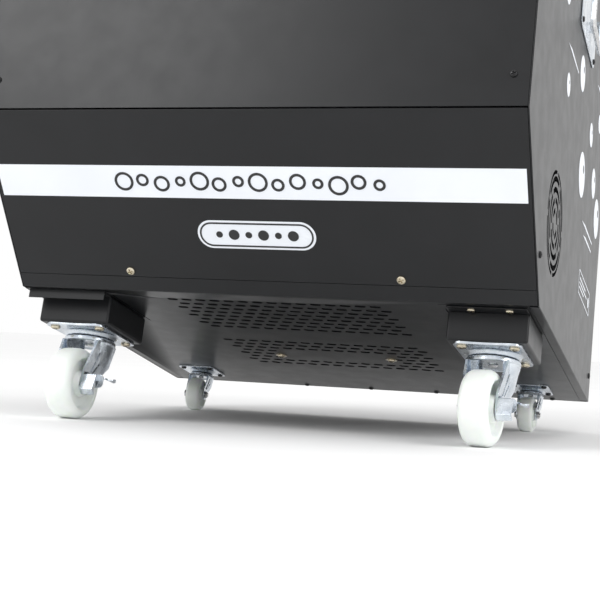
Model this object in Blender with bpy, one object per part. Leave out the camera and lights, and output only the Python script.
"""Bubble machine: a folded-steel cabinet that stands nose-up on four swivel casters.

The cabinet is drawn in its own upright frame: X to the right, Y from the front bottom edge to the back,
Z up from the underside. One empty then pitches the whole cabinet so that all four wheels touch the floor.
"""
import math

import bmesh
import bpy
from mathutils import Euler, Matrix, Vector

# ---------------------------------------------------------------- driving dimensions, in metres
GAP = 0.0003              # between pieces that touch or rest on each other
SHEET = 0.0015            # cabinet sheet

WIDTH = 0.570
DEPTH = 0.464             # underside, front to back
CABINET_HEIGHT = 0.600
SLANT = 0.210             # lower front panel, along its slope
LEAN = math.radians(45.5)  # slope of that panel from the upright
UPSTAND = 0.017           # folded front edge of the base pan
REAR_UPSTAND = 0.020
SIDE_LIP = 0.010          # folded bottom edge of a side panel, from the outer face

OUTLET_WIDTH = 0.470
OUTLET_BOTTOM = 0.300
OUTLET_TOP = 0.560
OUTLET_CORNER = 0.030

WAND_RADIUS = 0.105
WAND_SPACING = 0.244      # between the two wheel centres
WAND_HEIGHT = 0.405       # wheel centre above the underside
WAND_PLANE = -0.095       # wheel centre plane, from the front bottom edge
WAND_THICKNESS = 0.004
LOOP_COUNT = 8
LOOP_RADIUS = 0.021
LOOP_PITCH_RADIUS = 0.080
SHAFT_RADIUS = 0.004
BUSH_RADIUS = 0.010

SHELF_HEIGHT = 0.195
BULKHEAD_FRONT = -0.030
TANK_WIDTH = 0.490
TANK_FRONT = -0.140
TANK_BACK = -0.050
TANK_TOP = 0.345
TANK_WALL = 0.003

BLOWER_RADIUS = 0.075
BLOWER_WIDTH = 0.066
BLOWER_WALL = 0.003
BLOWER_DEPTH = 0.100      # volute centre behind the front bottom edge
NOZZLE_HEIGHT = 0.062
NOZZLE_REACH = 0.012      # in front of the bulkhead
IMPELLER_RADIUS = 0.055
IMPELLER_VANES = 16

WAND_PULLEY_RADIUS = 0.018
DRIVE_PULLEY_RADIUS = 0.012
PULLEY_FLANGE = 0.003
PULLEY_WIDTH = 0.012
PULLEY_BACK = 0.012       # back face of every pulley, from the front bottom edge
BELT_THICKNESS = 0.0025
BELT_WIDTH = 0.008
MOTOR_DROP = 0.060        # motor shaft below the wand shafts
MOTOR_SHAFT = 0.003

SUPPLY_LOW = (-0.085, 0.233)   # power supply, x and y of its low corner
SUPPLY_SIZE = (0.170, 0.090, 0.060)

FAN_SIZE = 0.120
FAN_DEPTH = 0.025
FAN_BORE = 0.057
FAN_BEHIND_FRONT = 0.059
FAN_ABOVE_UNDERSIDE = 0.105
FAN_BLADES = 7
FAN_STRUT = 0.004         # spokes that hold the fan's motor

SLOT_FRONTS = (0.030, 0.210)   # front edge of each group of air slots in the base pan
SLOT_SIZE = (0.052, 0.010)
SLOT_PITCH = (0.060, 0.030)
SLOT_LEFT = -0.118
SLOT_COUNT = 4                 # across, and front to back, in each group

VENT_RINGS = (0.020, 0.034, 0.048)
VENT_SLOT = 0.008
VENT_BRIDGE = math.radians(14)
VENT_TWIST = math.radians(20)  # from one ring to the next

LID_SIZE = (0.240, 0.110)
LID_THICKNESS = 0.010
LID_BACK = -0.040
LID_LEDGE = 0.015              # of the cover, under the lid's edge

LOUVRE_LEFTS = (-0.200, -0.110)
LOUVRE_SIZE = (0.070, 0.006)
LOUVRE_BOTTOM = 0.380
LOUVRE_PITCH = 0.020
LOUVRE_COUNT = 6

SPACER_WIDTH = 0.0840
SPACER_LENGTH = 0.0975
SPACER_HEIGHT = 0.0316
SPACER_FROM_SIDE = 0.0125
SPACER_FROM_FRONT = 0.026
SPACER_FLANGE = 0.016

REAR_CASTER_FROM_SIDE = 0.0635
REAR_CASTER_FROM_FRONT = 0.397

HANDLE_HEIGHT = 0.420
HANDLE_BEHIND_FRONT = 0.200
HANDLE_SPAN = 0.100
HANDLE_BAR = 0.0035

PANEL_LOW = (0.060, 0.280)     # rear control panel, x and z of its low corner
PANEL_SIZE = (0.180, 0.120)
PANEL_EDGE = 0.010             # of the panel, over the opening behind it
INLET_CENTRE = (0.095, 0.340)
INLET_HALF = (0.0235, 0.0120)
ROCKER_CENTRE = (0.145, 0.340)
ROCKER_HALF = (0.0090, 0.0120)
ROCKER_TILT = math.radians(9)
FUSE_CENTRE = (0.180, 0.340)
FUSE_RADIUS = 0.007
KNOB_CENTRE = (0.215, 0.340)
KNOB_SHAFT = 0.004

TAP_X, TAP_HEIGHT = -0.200, 0.070
TAP_OUT = 0.018                # lever's axis behind the tap's flange

FRONT_CASTER = dict(height=0.1026, wheel_radius=0.0388, wheel_width=0.032, trail=0.027,
                    plate_width=0.071, plate_length=0.095, plate_thickness=0.0025,
                    hole_x=0.054, hole_y=0.072, hole_radius=0.0042,
                    dish_radius=0.028, dish_depth=0.0050, bearing_gap=0.0010,
                    leg_thickness=0.0025, boss=0.012, bridge=0.026, axle=0.004, steps=28, brake=True)
REAR_CASTER = dict(height=0.057, wheel_radius=0.021, wheel_width=0.019, trail=0.014,
                   plate_width=0.049, plate_length=0.056, plate_thickness=0.002,
                   hole_x=0.037, hole_y=0.041, hole_radius=0.0027,
                   dish_radius=0.0150, dish_depth=0.0035, bearing_gap=0.001,
                   leg_thickness=0.0018, boss=0.007, bridge=0.0145, axle=0.0025, steps=22, brake=False)
FRONT_LEFT_YAW = math.radians(-2)
FRONT_RIGHT_YAW = math.radians(-6)
REAR_LEFT_YAW = math.radians(6)
REAR_RIGHT_YAW = math.radians(-2)

BRAKE_PLATE = 0.002
BRAKE_HUB = 0.013

# ---------------------------------------------------------------- values that follow from them
HALF = WIDTH / 2
INNER = HALF - SHEET - GAP
SLANT_RUN = SLANT * math.sin(LEAN)
SLANT_RISE = SLANT * math.cos(LEAN)
ROOF = CABINET_HEIGHT - SHEET - GAP      # top edge of the upright panels
SPACER_X = HALF - SPACER_FROM_SIDE - SPACER_WIDTH / 2
SPACER_Y = SPACER_FROM_FRONT + SPACER_LENGTH / 2
REAR_CASTER_X = HALF - REAR_CASTER_FROM_SIDE
SPACER_BOTTOM = -(GAP + SPACER_HEIGHT)
FRONT_MOUNT = SPACER_BOTTOM - GAP
WAND_X = WAND_SPACING / 2
BLOWER_HEIGHT = WAND_HEIGHT + LOOP_PITCH_RADIUS - NOZZLE_HEIGHT / 2 - 0.012
MOTOR_HEIGHT = WAND_HEIGHT - MOTOR_DROP
FAN_OUTER = INNER
FAN_INNER = FAN_OUTER - FAN_DEPTH
PANEL_FACE = DEPTH + GAP + SHEET


def cabinet_pitch():
    """Angle that brings the front and the rear wheels onto one floor."""
    front_axle = (SPACER_Y - FRONT_CASTER["trail"],
                  FRONT_MOUNT - FRONT_CASTER["height"] + FRONT_CASTER["wheel_radius"])
    rear_axle = (REAR_CASTER_FROM_FRONT - REAR_CASTER["trail"],
                 -GAP - REAR_CASTER["height"] + REAR_CASTER["wheel_radius"])
    back = rear_axle[0] - front_axle[0]
    up = rear_axle[1] - front_axle[1]
    rim_step = FRONT_CASTER["wheel_radius"] - REAR_CASTER["wheel_radius"]
    return math.atan2(up, back) + math.asin(rim_step / math.hypot(back, up))


# ---------------------------------------------------------------- outlines
def circle(radius, steps, centre=(0, 0)):
    turn = 2 * math.pi / steps
    return [(centre[0] + radius * math.cos(i * turn), centre[1] + radius * math.sin(i * turn))
            for i in range(steps)]


def arc(centre, radius, start, end, steps):
    span = (end - start) / steps
    return [(centre[0] + radius * math.cos(start + i * span), centre[1] + radius * math.sin(start + i * span))
            for i in range(steps + 1)]


def rectangle(low, high):
    return [(low[0], low[1]), (high[0], low[1]), (high[0], high[1]), (low[0], high[1])]


def rounded_rectangle(low, high, radius, steps=3):
    right = math.pi / 2
    corners = [(high[0] - radius, high[1] - radius), (low[0] + radius, high[1] - radius),
               (low[0] + radius, low[1] + radius), (high[0] - radius, low[1] + radius)]
    points = []
    for i, corner in enumerate(corners):
        points += arc(corner, radius, i * right, (i + 1) * right, steps)
    return points


def arc_slot(centre, inner, outer, start, end, steps=6):
    return arc(centre, outer, start, end, steps) + arc(centre, inner, end, start, steps)


def along_slope(distance, depth=0.0):
    """A (y, z) point on the lower front panel: up its outer face, then in through the sheet."""
    return (-distance * math.sin(LEAN) + depth * math.cos(LEAN),
            distance * math.cos(LEAN) + depth * math.sin(LEAN))


def belt_outline(circles, offset, steps=8):
    """Taut loop round circles given counter-clockwise as (x, z, radius), drawn 'offset' outside them."""
    normals = []
    for i, (x, z, radius) in enumerate(circles):
        next_x, next_z, next_radius = circles[(i + 1) % len(circles)]
        span = math.hypot(next_x - x, next_z - z)
        heading = math.atan2(next_z - z, next_x - x)
        normals.append(heading - math.acos((radius - next_radius) / span))
    points = []
    for i, (x, z, radius) in enumerate(circles):
        start = normals[i - 1]
        sweep = (normals[i] - start) % (2 * math.pi)
        points += arc((x, z), radius + offset, start, start + sweep, steps)
    return points


# ---------------------------------------------------------------- solids
def prism(points, axis, start, end):
    """Extrude an outline of the other two axes, in X, Y, Z order, along an axis."""
    bm = bmesh.new()
    order = {"x": lambda a, b, c: (c, a, b), "y": lambda a, b, c: (a, c, b),
             "z": lambda a, b, c: (a, b, c)}[axis]
    low = [bm.verts.new(order(a, b, start)) for a, b in points]
    high = [bm.verts.new(order(a, b, end)) for a, b in points]
    bm.faces.new(low)
    bm.faces.new(list(reversed(high)))
    for i in range(len(points)):
        j = (i + 1) % len(points)
        bm.faces.new((low[i], high[i], high[j], low[j]))
    bmesh.ops.recalc_face_normals(bm, faces=bm.faces)
    return bm


def block(low, high):
    return prism(rectangle(low[:2], high[:2]), "z", low[2], high[2])


def disc(radius, axis, start, end, centre=(0, 0), steps=24):
    return prism(circle(radius, steps, centre), axis, start, end)


def turned(profile, axis, steps=24, centre=(0, 0, 0)):
    """Turn a closed profile of (radius, along) points about an axis through 'centre'."""
    bm = bmesh.new()
    rings = []
    for radius, along in profile:
        if radius < 1e-7:
            rings.append([bm.verts.new((0, 0, along))])
        else:
            rings.append([bm.verts.new((a, b, along)) for a, b in circle(radius, steps)])
    for i, ring in enumerate(rings):
        after = rings[(i + 1) % len(rings)]
        if len(ring) == 1 and len(after) == 1:
            continue
        for k in range(steps):
            m = (k + 1) % steps
            corners = [ring[0]] if len(ring) == 1 else [ring[k], ring[m]]
            corners += [after[0]] if len(after) == 1 else [after[m], after[k]]
            bm.faces.new(corners)
    turn = {"x": Matrix.Rotation(math.pi / 2, 4, "Y"), "y": Matrix.Rotation(-math.pi / 2, 4, "X"),
            "z": Matrix.Identity(4)}[axis]
    bm.transform(Matrix.Translation(centre) @ turn)
    bmesh.ops.recalc_face_normals(bm, faces=bm.faces)
    return bm


def ring_band(outer, inner, axis, start, end):
    """A closed band between two outlines that have the same number of points."""
    bm = bmesh.new()
    order = {"x": lambda a, b, c: (c, a, b), "y": lambda a, b, c: (a, c, b)}[axis]
    loops = [[bm.verts.new(order(a, b, level)) for a, b in outline]
             for outline, level in ((outer, start), (outer, end), (inner, end), (inner, start))]
    for i in range(4):
        one, two = loops[i], loops[(i + 1) % 4]
        for k in range(len(outer)):
            m = (k + 1) % len(outer)
            bm.faces.new((one[k], one[m], two[m], two[k]))
    bmesh.ops.recalc_face_normals(bm, faces=bm.faces)
    return bm


def bar(path, radius, steps=8):
    """Round bar along a path of (y, z) points in the plane x = 0, with mitred corners."""
    bm = bmesh.new()
    rings = []
    for i, here in enumerate(path):
        here = Vector((0, *here))
        before = Vector((0, *path[i - 1])) if i else None
        after = Vector((0, *path[i + 1])) if i + 1 < len(path) else None
        arrive = (here - before).normalized() if before is not None else None
        leave = (after - here).normalized() if after is not None else arrive
        arrive = arrive if arrive is not None else leave
        forward = (arrive + leave).normalized()
        side = forward.cross(Vector((1, 0, 0)))
        stretch = 1 / max(0.3, forward.dot(leave))
        rings.append([bm.verts.new(here + Vector((a, 0, 0)) + side * (b * stretch))
                      for a, b in circle(radius, steps)])
    for one, two in zip(rings, rings[1:]):
        for k in range(steps):
            m = (k + 1) % steps
            bm.faces.new((one[k], one[m], two[m], two[k]))
    bm.faces.new(rings[0])
    bm.faces.new(list(reversed(rings[-1])))
    bmesh.ops.recalc_face_normals(bm, faces=bm.faces)
    return bm


def turned_to(bm, matrix):
    bm.transform(matrix)
    return bm


def together(shapes):
    """Several bodies that don't touch, held in one mesh, to cut or join with at once."""
    gathered = bmesh.new()
    for shape in shapes:
        mesh = bpy.data.meshes.new("gathered")
        shape.to_mesh(mesh)
        shape.free()
        gathered.from_mesh(mesh)
        bpy.data.meshes.remove(mesh)
    return gathered


# ---------------------------------------------------------------- objects
def finish(name, colour, roughness, metallic=0.0):
    material = bpy.data.materials.get(name)
    if material is None:
        material = bpy.data.materials.new(name)
        material.use_nodes = True
        shader = material.node_tree.nodes["Principled BSDF"]
        shader.inputs["Base Color"].default_value = (*colour, 1)
        shader.inputs["Roughness"].default_value = roughness
        shader.inputs["Metallic"].default_value = metallic
    return material


def black_paint():
    return finish("black_powder_coat", (0.028, 0.029, 0.031), 0.45)


def zinc():
    return finish("zinc_plate", (0.62, 0.66, 0.70), 0.28, 1.0)


def nylon():
    return finish("white_nylon", (0.84, 0.86, 0.82), 0.40)


def black_plastic():
    return finish("black_plastic", (0.03, 0.03, 0.03), 0.40)


def clear_plastic():
    return finish("tank_plastic", (0.75, 0.77, 0.78), 0.35)


def wand_plastic():
    return finish("wand_plastic", (0.10, 0.22, 0.45), 0.35)


def steel():
    return finish("bright_steel", (0.66, 0.66, 0.66), 0.30, 1.0)


def bronze():
    return finish("bearing_bronze", (0.60, 0.42, 0.20), 0.35, 1.0)


def belt_rubber():
    return finish("belt_rubber", (0.02, 0.02, 0.02), 0.70)


def galvanised():
    return finish("galvanised_sheet", (0.55, 0.57, 0.58), 0.40, 1.0)


def brass():
    return finish("tap_brass", (0.78, 0.58, 0.28), 0.30, 1.0)


def mesh_object(name, bm, parent, at, turn):
    mesh = bpy.data.meshes.new(name)
    bm.to_mesh(mesh)
    bm.free()
    thing = bpy.data.objects.new(name, mesh)
    bpy.context.collection.objects.link(thing)
    thing.parent = parent
    thing.location = at
    thing.rotation_euler = turn
    return thing


def tool(name, bm, thing, operation):
    """Boolean an outline body into a piece, and keep the tool as a hidden wire object."""
    helper = mesh_object(name, bm, thing.parent, thing.location, thing.rotation_euler)
    helper.hide_render = True
    helper.display_type = "WIRE"
    step = thing.modifiers.new(name, "BOOLEAN")
    step.operation = operation
    step.object = helper
    step.solver = "EXACT"


def piece(name, bm, material, parent, at=(0, 0, 0), turn=(0, 0, 0), add=(), cut=(), smooth=False):
    thing = mesh_object(name, bm, parent, at, turn)
    thing.data.materials.append(material)
    if smooth:
        thing.data.shade_smooth()
        thing.data.set_sharp_from_angle(angle=math.radians(35))
    for i, extra in enumerate(add):
        tool(f"{name}.add_{i}", extra, thing, "UNION")
    for i, hole in enumerate(cut):
        tool(f"{name}.cut_{i}", hole, thing, "DIFFERENCE")
    return thing


def frame_at(name, parent, at=(0, 0, 0), turn=(0, 0, 0)):
    empty = bpy.data.objects.new(name, None)
    bpy.context.collection.objects.link(empty)
    empty.parent = parent
    empty.location = at
    empty.rotation_euler = turn
    return empty


# ---------------------------------------------------------------- cabinet
def underside_slots():
    """Coarse air slots in two groups, each standing for a few rows of the fine perforation."""
    slots = []
    for front in SLOT_FRONTS:
        for row in range(SLOT_COUNT):
            for column in range(SLOT_COUNT):
                x = SLOT_LEFT + SLOT_PITCH[0] * column
                y = front + SLOT_PITCH[1] * row
                slots.append(block((x, y, -0.010), (x + SLOT_SIZE[0], y + SLOT_SIZE[1], 0.010)))
    return together(slots)


def base_pan(cabinet):
    floor_half = HALF - SIDE_LIP - GAP
    floor = block((-floor_half, 0, 0), (floor_half, DEPTH, SHEET))
    lip = [along_slope(0), along_slope(UPSTAND), along_slope(UPSTAND, SHEET), along_slope(0.0005, SHEET)]
    front = prism(lip, "x", -INNER, INNER)
    rear = block((-INNER, DEPTH - SHEET, 0), (INNER, DEPTH, REAR_UPSTAND))
    piece("base_pan", floor, black_paint(), cabinet, add=[front, rear], cut=[underside_slots()])


def fan_vent():
    """Concentric arc slots over the cooling fan, with four bridges in each ring."""
    slots = []
    for ring, inner in enumerate(VENT_RINGS):
        for quarter in range(4):
            start = math.pi / 2 * quarter + VENT_TWIST * ring + VENT_BRIDGE / 2
            end = start + math.pi / 2 - VENT_BRIDGE
            outline = arc_slot((FAN_BEHIND_FRONT, FAN_ABOVE_UNDERSIDE), inner, inner + VENT_SLOT, start, end)
            slots.append(prism(outline, "x", HALF - 0.010, HALF + 0.010))
    return together(slots)


def side_panel(cabinet, name, side, holes):
    outline = [(0, 0), (-SLANT_RUN, SLANT_RISE), (-SLANT_RUN, CABINET_HEIGHT), (DEPTH, CABINET_HEIGHT),
               (DEPTH, 0)]
    plate = prism(outline, "x", side * (HALF - SHEET), side * HALF)
    edges = sorted((side * (HALF - SIDE_LIP), side * (HALF - SHEET / 2)))
    lip = block((edges[0], 0.006, 0), (edges[1], DEPTH - 0.006, SHEET))
    piece(name, plate, black_paint(), cabinet, add=[lip], cut=holes)


def lower_front_panel(cabinet):
    low, high = UPSTAND + GAP, SLANT - 0.001
    outline = [along_slope(low), along_slope(high), along_slope(high, SHEET), along_slope(low, SHEET)]
    piece("lower_front_panel", prism(outline, "x", -INNER, INNER), black_paint(), cabinet)


def outlet_panel(cabinet):
    plate = block((-INNER, -SLANT_RUN, SLANT_RISE + 0.0012), (INNER, -SLANT_RUN + SHEET, ROOF))
    half = OUTLET_WIDTH / 2
    window = rounded_rectangle((-half, OUTLET_BOTTOM), (half, OUTLET_TOP), OUTLET_CORNER)
    hole = prism(window, "y", -SLANT_RUN - 0.01, -SLANT_RUN + 0.01)
    piece("outlet_panel", plate, black_paint(), cabinet, cut=[hole])


def rear_panel(cabinet):
    plate = block((-INNER, DEPTH - SHEET, REAR_UPSTAND + GAP), (INNER, DEPTH, ROOF))
    edge = PANEL_EDGE
    opening = block((PANEL_LOW[0] + edge, DEPTH - 0.01, PANEL_LOW[1] + edge),
                    (PANEL_LOW[0] + PANEL_SIZE[0] - edge, DEPTH + 0.01, PANEL_LOW[1] + PANEL_SIZE[1] - edge))
    louvres = []
    for x in LOUVRE_LEFTS:
        for row in range(LOUVRE_COUNT):
            z = LOUVRE_BOTTOM + LOUVRE_PITCH * row
            louvres.append(block((x, DEPTH - 0.01, z), (x + LOUVRE_SIZE[0], DEPTH + 0.01, z + LOUVRE_SIZE[1])))
    piece("rear_panel", plate, black_paint(), cabinet, cut=[together([opening] + louvres)])


def top_cover(cabinet):
    plate = block((-INNER, -SLANT_RUN, CABINET_HEIGHT - SHEET), (INNER, DEPTH, CABINET_HEIGHT))
    edge = LID_LEDGE
    hole = block((-LID_SIZE[0] / 2 + edge, LID_BACK - LID_SIZE[1] + edge, CABINET_HEIGHT - 0.01),
                 (LID_SIZE[0] / 2 - edge, LID_BACK - edge, CABINET_HEIGHT + 0.01))
    piece("top_cover", plate, black_paint(), cabinet, cut=[hole])


def fill_lid(cabinet):
    """Hinged at the top of its back edge, so that it clears the cover as it opens."""
    lid = block((-LID_SIZE[0] / 2, -LID_SIZE[1], -LID_THICKNESS), (LID_SIZE[0] / 2, 0, 0))
    grip = block((-0.030, -LID_SIZE[1] - 0.008, -0.006), (0.030, -LID_SIZE[1] + 0.002, -0.002))
    piece("fill_lid", lid, black_paint(), cabinet, at=(0, LID_BACK, CABINET_HEIGHT + GAP + LID_THICKNESS),
          add=[grip])


def caster_spacer(cabinet, name, side):
    """Folded box, open at the top, with a screwed flange in front."""
    x = side * SPACER_X
    half = SPACER_WIDTH / 2
    top = -GAP
    body = block((x - half, SPACER_FROM_FRONT, SPACER_BOTTOM),
                 (x + half, SPACER_FROM_FRONT + SPACER_LENGTH, top))
    flange = block((x - half, SPACER_FROM_FRONT - SPACER_FLANGE, top - SHEET),
                   (x + half, SPACER_FROM_FRONT + SHEET / 2, top))
    hollow = block((x - half + SHEET, SPACER_FROM_FRONT + SHEET, SPACER_BOTTOM + SHEET),
                   (x + half - SHEET, SPACER_FROM_FRONT + SPACER_LENGTH - SHEET, 0.01))
    piece(name, body, black_paint(), cabinet, add=[flange], cut=[hollow])


# ---------------------------------------------------------------- casters
def caster_plate(cabinet, name, spec, at):
    half_x, half_y = spec["plate_width"] / 2, spec["plate_length"] / 2
    thickness = spec["plate_thickness"]
    corner = 2.2 * spec["hole_radius"]
    plate = prism(rounded_rectangle((-half_x, -half_y), (half_x, half_y), corner), "z", -thickness, 0)
    dish_floor = -thickness - spec["dish_depth"]
    dish = turned([(0, -thickness / 2), (spec["dish_radius"] + 0.004, -thickness / 2),
                   (spec["dish_radius"] + 0.004, -thickness - 0.0005), (spec["dish_radius"], dish_floor),
                   (0, dish_floor)], "z", 20)
    holes = [disc(spec["hole_radius"], "z", -0.01, 0.01, (i * spec["hole_x"] / 2, j * spec["hole_y"] / 2), 10)
             for i in (-1, 1) for j in (-1, 1)]
    piece(f"{name}_plate", plate, zinc(), cabinet, at=at, add=[dish], cut=[together(holes)])


def caster_fork(swivel, name, spec):
    top = -(spec["plate_thickness"] + spec["dish_depth"] + spec["bearing_gap"])
    bridge_top = top - 0.0015
    leg_in = spec["wheel_width"] / 2 + 0.0012
    leg_out = leg_in + spec["leg_thickness"]
    bridge = spec["bridge"]
    axle_z = spec["wheel_radius"] - spec["height"]
    span = block((-leg_out, -bridge, bridge_top - spec["leg_thickness"]), (leg_out, bridge, bridge_top))
    crown = disc(spec["dish_radius"] + 0.001, "z", bridge_top - 0.001, top, steps=20)
    boss = arc((-spec["trail"], axle_z), spec["boss"], 0, -math.pi, 6)
    outline = [(-bridge, bridge_top - 0.0008), (bridge, bridge_top - 0.0008),
               (bridge * 0.9, bridge_top - spec["leg_thickness"] - 0.006)] + boss
    outline += [(-bridge, bridge_top - spec["leg_thickness"] - 0.006)]
    legs = together([prism(outline, "x", *sorted((side * leg_in, side * (leg_out - 0.0002))))
                     for side in (-1, 1)])
    bore = disc(spec["axle"] + GAP, "x", -leg_out - 0.01, leg_out + 0.01, (-spec["trail"], axle_z), 12)
    piece(f"{name}_fork", span, zinc(), swivel, add=[crown, legs], cut=[bore])
    return leg_out


def caster_wheel(hub, name, spec):
    """Nylon wheel with a crowned tread and a recessed web round its hub."""
    radius, half = spec["wheel_radius"], spec["wheel_width"] / 2
    bore = spec["axle"] + GAP
    round_over = 0.2 * radius
    hub_radius = 0.36 * radius
    rim_inner = 0.70 * radius
    slope = 0.04 * radius
    web = 0.62 * half
    shoulder = [(radius - round_over + round_over * math.sin(a), half - round_over + round_over * math.cos(a))
                for a in (0, math.pi / 4)]
    right = [(bore, half), (hub_radius, half), (hub_radius + slope, web), (rim_inner, web),
             (rim_inner + slope, half)] + shoulder + [(radius, half - round_over)]
    left = [(r, -along) for r, along in reversed(right)]
    piece(f"{name}_wheel", turned(right + left, "x", spec["steps"]), nylon(), hub, smooth=True)


def caster_axle(hub, name, spec, leg_out):
    """Bolt head on one side, nut on the other, outside the brake lever where there is one."""
    shank, head = spec["axle"], 1.8 * spec["axle"]
    nut_at = leg_out + GAP + (BRAKE_PLATE + GAP if spec["brake"] else 0)
    profile = [(0, -leg_out - GAP - shank), (head, -leg_out - GAP - shank), (head, -leg_out - GAP),
               (shank, -leg_out - GAP), (shank, nut_at), (head, nut_at), (head, nut_at + shank),
               (0, nut_at + shank)]
    piece(f"{name}_axle", turned(profile, "x", 12), steel(), hub)


def brake_lever(hub, name, spec, leg_out):
    """Stamped rocker on the axle: a short pedal in front to lock it, a long one behind to free it."""
    near = leg_out + GAP
    cheek = disc(BRAKE_HUB, "x", near, near + BRAKE_PLATE)
    wing = Matrix.Rotation(math.radians(-28), 4, "X")
    front = turned_to(block((near + 0.0002, -0.021, -0.0010), (near + 0.018, -0.006, 0.0010)), wing.inverted())
    rear = turned_to(block((near + 0.0002, 0.006, 0.0010), (near + 0.024, 0.020, 0.0030)), wing.inverted())
    bore = disc(spec["axle"] + GAP, "x", near - 0.01, near + 0.01, (0, 0), 12)
    clear_nut = disc(1.8 * spec["axle"] + GAP, "x", near + BRAKE_PLATE, near + 0.03, (0, 0), 12)
    piece(f"{name}_brake_lever", cheek, zinc(), hub, add=[front, rear], cut=[bore, clear_nut])


def caster(cabinet, name, spec, at, yaw):
    caster_plate(cabinet, name, spec, at)
    swivel = frame_at(f"{name}_swivel_axis", cabinet, at, (0, 0, yaw))
    leg_out = caster_fork(swivel, name, spec)
    hub = frame_at(f"{name}_axle_axis", swivel, (0, -spec["trail"], spec["wheel_radius"] - spec["height"]))
    caster_wheel(hub, name, spec)
    caster_axle(hub, name, spec, leg_out)
    if spec["brake"]:
        brake_lever(hub, name, spec, leg_out)


def all_casters(cabinet):
    front, rear = (SPACER_Y, FRONT_MOUNT), (REAR_CASTER_FROM_FRONT, -GAP)
    caster(cabinet, "front_left_caster", FRONT_CASTER, (-SPACER_X, *front), FRONT_LEFT_YAW)
    caster(cabinet, "front_right_caster", FRONT_CASTER, (SPACER_X, *front), FRONT_RIGHT_YAW)
    caster(cabinet, "rear_left_caster", REAR_CASTER, (-REAR_CASTER_X, *rear), REAR_LEFT_YAW)
    caster(cabinet, "rear_right_caster", REAR_CASTER, (REAR_CASTER_X, *rear), REAR_RIGHT_YAW)


# ---------------------------------------------------------------- cooling fan
def fan_frame(cabinet):
    y, z, half = FAN_BEHIND_FRONT, FAN_ABOVE_UNDERSIDE, FAN_SIZE / 2
    body = prism(rectangle((y - half, z - half), (y + half, z + half)), "x", FAN_INNER, FAN_OUTER)
    bore = disc(FAN_BORE, "x", FAN_INNER + FAN_STRUT, FAN_OUTER + 0.01, (y, z), 28)
    quarters = together([prism(arc_slot((y, z), 0.024, FAN_BORE - 0.0002, math.pi / 2 * i + 0.06,
                                        math.pi / 2 * (i + 1) - 0.06, 5), "x", FAN_INNER - 0.01, FAN_OUTER)
                         for i in range(4)])
    piece("cooling_fan_frame", body, black_plastic(), cabinet, cut=[bore, quarters])


def fan_rotor(cabinet):
    depth = FAN_DEPTH - FAN_STRUT - 0.003
    hub = disc(0.021, "x", 0, depth)
    blades = []
    for i in range(FAN_BLADES):
        blade = block((-0.011, -0.001, 0.018), (0.011, 0.001, FAN_BORE - 0.003))
        blade.transform(Matrix.Rotation(math.radians(52), 4, "Z"))
        blade.transform(Matrix.Translation((depth / 2, 0, 0)))
        blade.transform(Matrix.Rotation(2 * math.pi * i / FAN_BLADES, 4, "X"))
        blades.append(blade)
    piece("cooling_fan_rotor", hub, black_plastic(), cabinet,
          at=(FAN_INNER + FAN_STRUT + 0.001, FAN_BEHIND_FRONT, FAN_ABOVE_UNDERSIDE), add=[together(blades)])


# ---------------------------------------------------------------- bubble works
def bulkhead(cabinet):
    """Upright plate behind the wheels, with a shelf in front that carries the tank."""
    back = BULKHEAD_FRONT + SHEET
    plate = block((-INNER, BULKHEAD_FRONT, SHELF_HEIGHT), (INNER, back, ROOF))
    shelf = block((-INNER, -SLANT_RUN + SHEET + GAP, SHELF_HEIGHT),
                  (INNER, back - SHEET / 2, SHELF_HEIGHT + SHEET))
    reach = 0.01
    holes = []
    for side in (-1, 1):
        x = side * WAND_X
        half = BLOWER_WIDTH / 2 + GAP
        holes.append(block((x - half, BULKHEAD_FRONT - reach, nozzle_bottom() - GAP),
                           (x + half, back + reach, nozzle_bottom() + NOZZLE_HEIGHT + GAP)))
        holes.append(disc(BUSH_RADIUS + GAP, "y", BULKHEAD_FRONT - reach, back + reach, (x, WAND_HEIGHT), 16))
    piece("bulkhead", plate, galvanised(), cabinet, add=[shelf], cut=[together(holes)])


def fluid_tank(cabinet):
    low = SHELF_HEIGHT + SHEET + GAP
    half = TANK_WIDTH / 2
    body = block((-half, TANK_FRONT, low), (half, TANK_BACK, TANK_TOP))
    hollow = block((-half + TANK_WALL, TANK_FRONT + TANK_WALL, low + TANK_WALL),
                   (half - TANK_WALL, TANK_BACK - TANK_WALL, TANK_TOP + 0.01))
    piece("fluid_tank", body, clear_plastic(), cabinet, cut=[hollow])


def wand_wheel(cabinet, name, x):
    """Flat wheel of eight bubble loops round a boss, turning on its shaft."""
    half = WAND_THICKNESS / 2
    plate = disc(WAND_RADIUS, "y", -half, half, steps=32)
    boss = disc(0.014, "y", -0.006, 0.010, steps=16)
    loops = together([disc(LOOP_RADIUS, "y", -0.01, 0.01,
                           (LOOP_PITCH_RADIUS * math.cos(math.tau * i / LOOP_COUNT),
                            LOOP_PITCH_RADIUS * math.sin(math.tau * i / LOOP_COUNT)), 12)
                      for i in range(LOOP_COUNT)])
    bore = disc(SHAFT_RADIUS + GAP, "y", -0.02, 0.02, steps=12)
    piece(name, plate, wand_plastic(), cabinet, at=(x, WAND_PLANE, WAND_HEIGHT), add=[boss], cut=[loops, bore])


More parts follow.
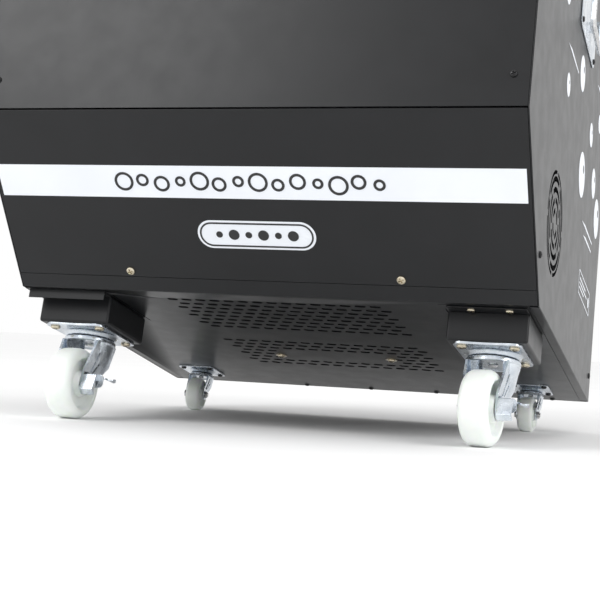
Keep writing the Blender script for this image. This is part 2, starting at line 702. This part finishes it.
def wand_drive(cabinet, side_name, x):
    at = (x, 0, WAND_HEIGHT)
    shaft = disc(SHAFT_RADIUS, "y", WAND_PLANE - 0.008, PULLEY_BACK + 0.004, steps=12)
    piece(f"{side_name}_wand_shaft", shaft, steel(), cabinet, at=at)
    bush = turned([(SHAFT_RADIUS + GAP, BULKHEAD_FRONT - 0.005), (BUSH_RADIUS + 0.005, BULKHEAD_FRONT - 0.005),
                   (BUSH_RADIUS + 0.005, BULKHEAD_FRONT - GAP), (BUSH_RADIUS, BULKHEAD_FRONT - GAP),
                   (BUSH_RADIUS, BULKHEAD_FRONT + 0.010), (SHAFT_RADIUS + GAP, BULKHEAD_FRONT + 0.010)],
                  "y", 16)
    piece(f"{side_name}_wand_bush", bush, bronze(), cabinet, at=at)
    piece(f"{side_name}_wand_pulley", pulley(WAND_PULLEY_RADIUS, SHAFT_RADIUS + GAP), black_plastic(), cabinet,
          at=at)


def pulley(radius, bore):
    front = PULLEY_BACK - PULLEY_WIDTH
    rim = 0.0015
    edge = radius + PULLEY_FLANGE
    return turned([(bore, front), (edge, front), (edge, front + rim), (radius, front + rim),
                   (radius, PULLEY_BACK - rim), (edge, PULLEY_BACK - rim), (edge, PULLEY_BACK),
                   (bore, PULLEY_BACK)], "y", 14)


def drive_belt(cabinet):
    wand, motor = WAND_PULLEY_RADIUS + GAP, DRIVE_PULLEY_RADIUS + GAP
    circles = [(-WAND_X, WAND_HEIGHT, wand), (0, MOTOR_HEIGHT, motor), (WAND_X, WAND_HEIGHT, wand)]
    middle = PULLEY_BACK - PULLEY_WIDTH / 2
    band = ring_band(belt_outline(circles, BELT_THICKNESS), belt_outline(circles, 0), "y",
                     middle - BELT_WIDTH / 2, middle + BELT_WIDTH / 2)
    piece("drive_belt", band, belt_rubber(), cabinet)


def drive_motor(cabinet):
    """Gearbox and motor can behind the belt, on three stand-offs from the bulkhead."""
    front = PULLEY_BACK + 0.006
    gearbox = block((-0.028, front, -0.032), (0.028, front + 0.028, 0.040))
    can = disc(0.018, "y", front + 0.027, front + 0.080)
    shaft = disc(MOTOR_SHAFT, "y", PULLEY_BACK - PULLEY_WIDTH - 0.002, front + 0.002, steps=12)
    seat = BULKHEAD_FRONT + SHEET + GAP
    legs = together([block((x - 0.004, seat, z - 0.004), (x + 0.004, front + 0.002, z + 0.004))
                     for x, z in ((-0.022, -0.026), (0.022, -0.026), (0, 0.034))])
    piece("drive_motor", gearbox, steel(), cabinet, at=(0, 0, MOTOR_HEIGHT), add=[can, shaft, legs])
    piece("drive_pulley", pulley(DRIVE_PULLEY_RADIUS, MOTOR_SHAFT + GAP), black_plastic(), cabinet,
          at=(0, 0, MOTOR_HEIGHT))


def nozzle_bottom():
    return BLOWER_HEIGHT + 0.012


def blower(cabinet, side_name, side):
    """Volute that draws air in at its outer side and blows it through the top loops of the wheel."""
    at = (side * WAND_X, BLOWER_DEPTH, BLOWER_HEIGHT)
    half = BLOWER_WIDTH / 2
    wall = BLOWER_WALL
    duct_low = nozzle_bottom() - BLOWER_HEIGHT
    duct_high = duct_low + NOZZLE_HEIGHT
    mouth = BULKHEAD_FRONT - NOZZLE_REACH - BLOWER_DEPTH
    volute = disc(BLOWER_RADIUS, "x", -half, half)
    duct = block((-half, mouth, duct_low), (half, 0, duct_high))
    hollow = disc(BLOWER_RADIUS - wall, "x", -half + wall, half - wall)
    passage = block((-half + wall, mouth - 0.01, duct_low + wall), (half - wall, -0.01, duct_high - wall))
    inlet = disc(0.032, "x", *sorted((side * (half - 0.01), side * (half + 0.01))))
    piece(f"{side_name}_blower_housing", volute, black_plastic(), cabinet, at=at, add=[duct],
          cut=[hollow, passage, inlet])
    vanes = []
    step = math.tau / IMPELLER_VANES
    for i in range(IMPELLER_VANES):
        vanes += arc((0, 0), IMPELLER_RADIUS, i * step, i * step + 0.35 * step, 1)
        vanes += arc((0, 0), IMPELLER_RADIUS * 0.78, (i + 0.45) * step, (i + 0.9) * step, 1)
    piece(f"{side_name}_blower_impeller", prism(vanes, "x", -half + wall + 0.006, half - wall - 0.006),
          galvanised(), cabinet, at=at)


def power_supply(cabinet):
    low = (*SUPPLY_LOW, SHEET + GAP)
    body = block(low, [a + b for a, b in zip(low, SUPPLY_SIZE)])
    piece("power_supply", body, galvanised(), cabinet)


# ---------------------------------------------------------------- rear controls and drain
def control_panel(cabinet):
    low, size = PANEL_LOW, PANEL_SIZE
    plate = block((low[0], DEPTH + GAP, low[1]), (low[0] + size[0], PANEL_FACE, low[1] + size[1]))
    holes = []
    for centre, half, slack in ((INLET_CENTRE, INLET_HALF, GAP), (ROCKER_CENTRE, ROCKER_HALF, 0.0015)):
        holes.append(block((centre[0] - half[0] - slack, DEPTH - 0.01, centre[1] - half[1] - slack),
                           (centre[0] + half[0] + slack, DEPTH + 0.02, centre[1] + half[1] + slack)))
    for centre, radius in ((FUSE_CENTRE, FUSE_RADIUS), (KNOB_CENTRE, KNOB_SHAFT)):
        holes.append(disc(radius + GAP, "y", DEPTH - 0.01, DEPTH + 0.02, centre, 14))
    piece("control_panel", plate, black_paint(), cabinet, cut=[together(holes)])


def mains_inlet(cabinet):
    (x, z), (half_x, half_z) = INLET_CENTRE, INLET_HALF
    body = block((x - half_x, DEPTH - 0.028, z - half_z), (x + half_x, PANEL_FACE + 0.001, z + half_z))
    flange = block((x - half_x - 0.003, PANEL_FACE + GAP, z - half_z - 0.003),
                   (x + half_x + 0.003, PANEL_FACE + 0.003, z + half_z + 0.003))
    recess = prism([(x - 0.012, z - 0.008), (x + 0.012, z - 0.008), (x + 0.012, z + 0.003),
                    (x + 0.007, z + 0.008), (x - 0.007, z + 0.008), (x - 0.012, z + 0.003)],
                   "y", DEPTH - 0.015, PANEL_FACE + 0.02)
    piece("mains_inlet", body, black_plastic(), cabinet, add=[flange], cut=[recess])


def rear_controls(cabinet):
    mains_inlet(cabinet)
    width, height = ROCKER_HALF
    rocker = block((-width, -0.006, -height), (width, 0.004, height))
    seat = (ROCKER_CENTRE[0], PANEL_FACE, ROCKER_CENTRE[1])
    piece("power_rocker", rocker, black_plastic(), cabinet, at=seat,
          turn=(-ROCKER_TILT, 0, 0))
    fuse = turned([(0, -0.020), (FUSE_RADIUS, -0.020), (FUSE_RADIUS, 0), (0.0095, 0), (0.0085, 0.009),
                   (0, 0.009)], "y", 16)
    piece("fuse_cap", fuse, black_plastic(), cabinet, at=(FUSE_CENTRE[0], PANEL_FACE + GAP, FUSE_CENTRE[1]))
    knob = turned([(0, -0.010), (KNOB_SHAFT, -0.010), (KNOB_SHAFT, 0.0005), (0.011, 0.0005), (0.010, 0.014),
                   (0, 0.014)], "y", 20)
    pointer = block((-0.001, 0.010, 0.002), (0.001, 0.0155, 0.0095))
    piece("speed_knob", knob, black_plastic(), cabinet, at=(KNOB_CENTRE[0], PANEL_FACE + GAP, KNOB_CENTRE[1]),
          add=[pointer])


def drain_tap(cabinet):
    at = (TAP_X, DEPTH + GAP, TAP_HEIGHT)
    body = turned([(0, 0), (0.013, 0), (0.013, 0.004), (0.009, 0.005), (0.009, 0.030), (0.0065, 0.032),
                   (0.0065, 0.048), (0, 0.048)], "y", 14)
    stem = disc(0.0045, "z", 0.004, 0.016, (0, TAP_OUT), 12)
    mouth = disc(0.005, "y", 0.020, 0.06, steps=12)
    piece("drain_tap_body", body, brass(), cabinet, at=at, add=[stem], cut=[mouth])
    lever = block((-0.006, -0.006, 0), (0.042, 0.006, 0.003))
    piece("drain_tap_lever", lever, finish("lever_red", (0.45, 0.03, 0.02), 0.4), cabinet,
          at=(TAP_X, DEPTH + GAP + TAP_OUT, TAP_HEIGHT + 0.016 + GAP))


# ---------------------------------------------------------------- side handles
def side_handle(cabinet, side_name, side):
    axis_out = 0.011
    x = side * (HALF + GAP)
    half = HANDLE_SPAN / 2
    lug = 0.006
    at = (x, HANDLE_BEHIND_FRONT, HANDLE_HEIGHT)
    edges = sorted((0, side * SHEET))
    plate = block((edges[0], -half - 0.016, -0.050), (edges[1], half + 0.016, 0.014))
    lug_edges = sorted((side * SHEET / 2, side * (axis_out + 0.006)))
    lugs = together([block((lug_edges[0], y - lug / 2, -0.006), (lug_edges[1], y + lug / 2, 0.006))
                     for y in (-half, half)])
    pin_hole = disc(HANDLE_BAR + 0.0007, "y", -half - 0.02, half + 0.02, (side * axis_out, 0), 8)
    piece(f"{side_name}_handle_plate", plate, zinc(), cabinet, at=at, add=[lugs], cut=[pin_hole])
    reach, inset, drop = half + 0.007, half - 0.008, 0.040
    path = [(-reach, 0), (-inset - 0.003, 0), (-inset, -0.003), (-inset, -drop + 0.005),
            (-inset + 0.005, -drop), (inset - 0.005, -drop), (inset, -drop + 0.005), (inset, -0.003),
            (inset + 0.003, 0), (reach, 0)]
    piece(f"{side_name}_handle_bail", bar(path, HANDLE_BAR), steel(), cabinet,
          at=(x + side * axis_out, HANDLE_BEHIND_FRONT, HANDLE_HEIGHT), smooth=True)


# ---------------------------------------------------------------- assembly
def build_cabinet(cabinet):
    base_pan(cabinet)
    side_panel(cabinet, "left_side_panel", -1, [])
    side_panel(cabinet, "right_side_panel", 1, [fan_vent()])
    lower_front_panel(cabinet)
    outlet_panel(cabinet)
    rear_panel(cabinet)
    top_cover(cabinet)
    fill_lid(cabinet)
    caster_spacer(cabinet, "left_caster_spacer", -1)
    caster_spacer(cabinet, "right_caster_spacer", 1)


def build_works(cabinet):
    fan_frame(cabinet)
    fan_rotor(cabinet)
    bulkhead(cabinet)
    fluid_tank(cabinet)
    for side_name, side in (("left", -1), ("right", 1)):
        wand_wheel(cabinet, f"{side_name}_wand_wheel", side * WAND_X)
        wand_drive(cabinet, side_name, side * WAND_X)
        blower(cabinet, side_name, side)
        side_handle(cabinet, side_name, side)
    drive_motor(cabinet)
    drive_belt(cabinet)
    power_supply(cabinet)
    control_panel(cabinet)
    rear_controls(cabinet)
    drain_tap(cabinet)


def stand_on_origin(cabinet):
    """Move the cabinet so that its box stands on the origin, centred, with the wheels on z = 0."""
    bpy.context.view_layer.update()
    graph = bpy.context.evaluated_depsgraph_get()
    corners = []
    for thing in bpy.data.objects:
        if thing.type == "MESH" and not thing.hide_render:
            solid = thing.evaluated_get(graph)
            corners += [solid.matrix_world @ vertex.co for vertex in solid.data.vertices]
    low = [min(corner[i] for corner in corners) for i in range(3)]
    high = [max(corner[i] for corner in corners) for i in range(3)]
    cabinet.location = (-(low[0] + high[0]) / 2, -(low[1] + high[1]) / 2, -low[2])
    bpy.context.view_layer.update()


def main():
    for thing in list(bpy.data.objects):
        bpy.data.objects.remove(thing, do_unlink=True)
    cabinet = frame_at("cabinet_frame", None, turn=Euler((-cabinet_pitch(), 0, 0)))
    build_cabinet(cabinet)
    all_casters(cabinet)
    build_works(cabinet)
    stand_on_origin(cabinet)


main()
